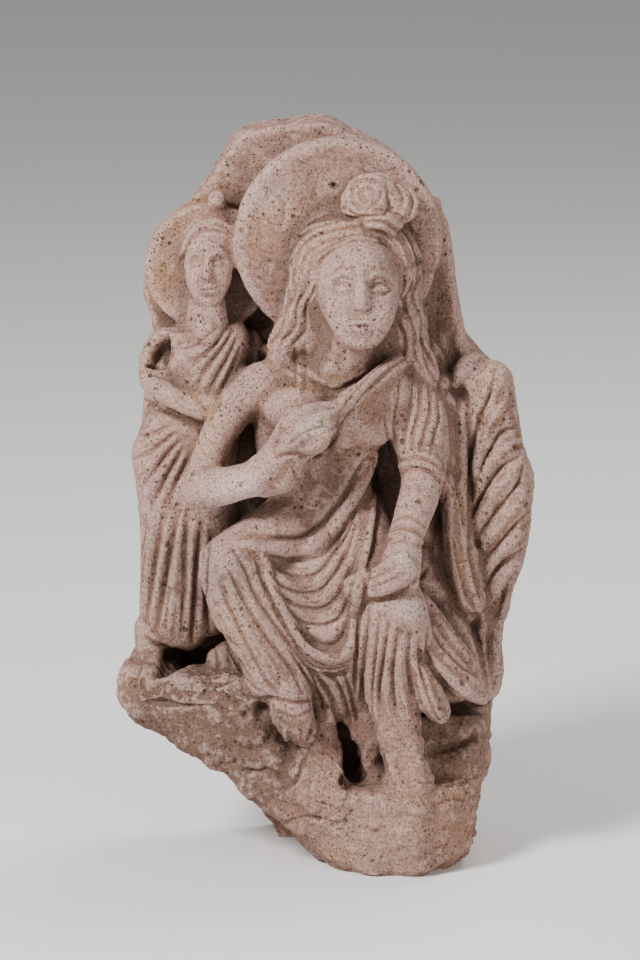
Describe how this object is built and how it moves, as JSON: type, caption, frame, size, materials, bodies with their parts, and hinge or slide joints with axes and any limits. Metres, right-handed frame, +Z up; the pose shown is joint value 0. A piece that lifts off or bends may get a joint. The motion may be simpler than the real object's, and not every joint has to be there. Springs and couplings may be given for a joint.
{
  "type": "stucco relief",
  "caption": "Broken stucco wall relief of a seated, haloed figure with a raised hand, a standing attendant and a twisted trunk, flat at the back.",
  "frame": {"origin": "a point of the flat resting face on the broken underside, under the seated figure", "axes": "+Z up, -Y out of the relief towards the viewer, +X to the viewer's right"},
  "size_m": [0.2096, 0.1074, 0.3674],
  "materials": {
    "stucco": "matt, porous pinkish-beige lime stucco"
  },
  "bodies": {
    "root": {"stucco_relief": "stucco"}
  },
  "joints": []
}
